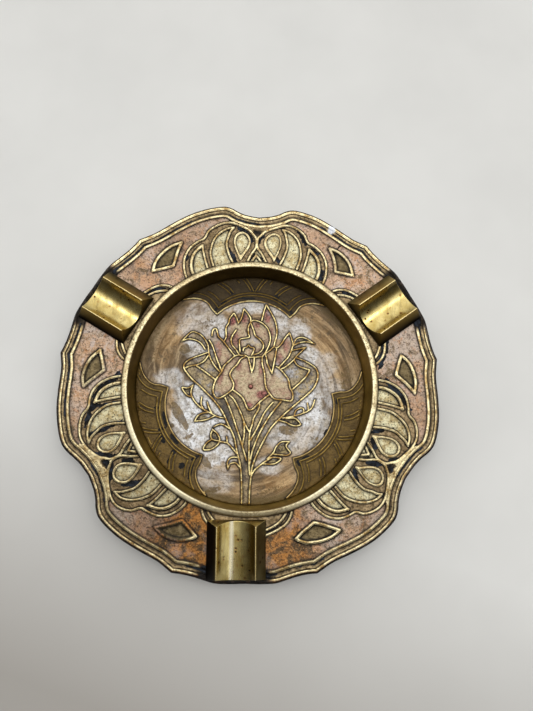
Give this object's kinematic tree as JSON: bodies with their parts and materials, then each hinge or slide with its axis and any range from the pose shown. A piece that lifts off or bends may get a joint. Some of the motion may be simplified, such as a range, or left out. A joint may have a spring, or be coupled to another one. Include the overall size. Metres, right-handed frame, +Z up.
{
  "type": "incense burner dish",
  "caption": "Round cast brass dish with a turned cup, a floral relief floor and trough rests around a ribbed, lobed rim.",
  "frame": {"origin": "middle of the flat base, on the cup's axis", "axes": "+Z up along the cup's axis; -Y towards the front rest; the iris grows towards +Y"},
  "size_m": [0.1482, 0.1477, 0.0185],
  "materials": {
    "rim_brass": "cast, antiqued: pale ridges, copper and grey fields, dark grooves",
    "cup_brass": "turned, bright lip and dull olive wall",
    "floor_brass": "cast, tarnished grey with bright ridges",
    "rivet_copper": "tarnished copper",
    "rest_brass": "polished, fine scratches and pits",
    "stud_brass": "dull"
  },
  "bodies": {
    "root": {"rim_plate": "rim_brass", "cup": "cup_brass", "floor_medallion": "floor_brass", "centre_rivet": "rivet_copper", "rest_front": "rest_brass", "rest_left": "rest_brass", "rest_right": "rest_brass", "rest_rivets": "stud_brass"}
  },
  "joints": []
}
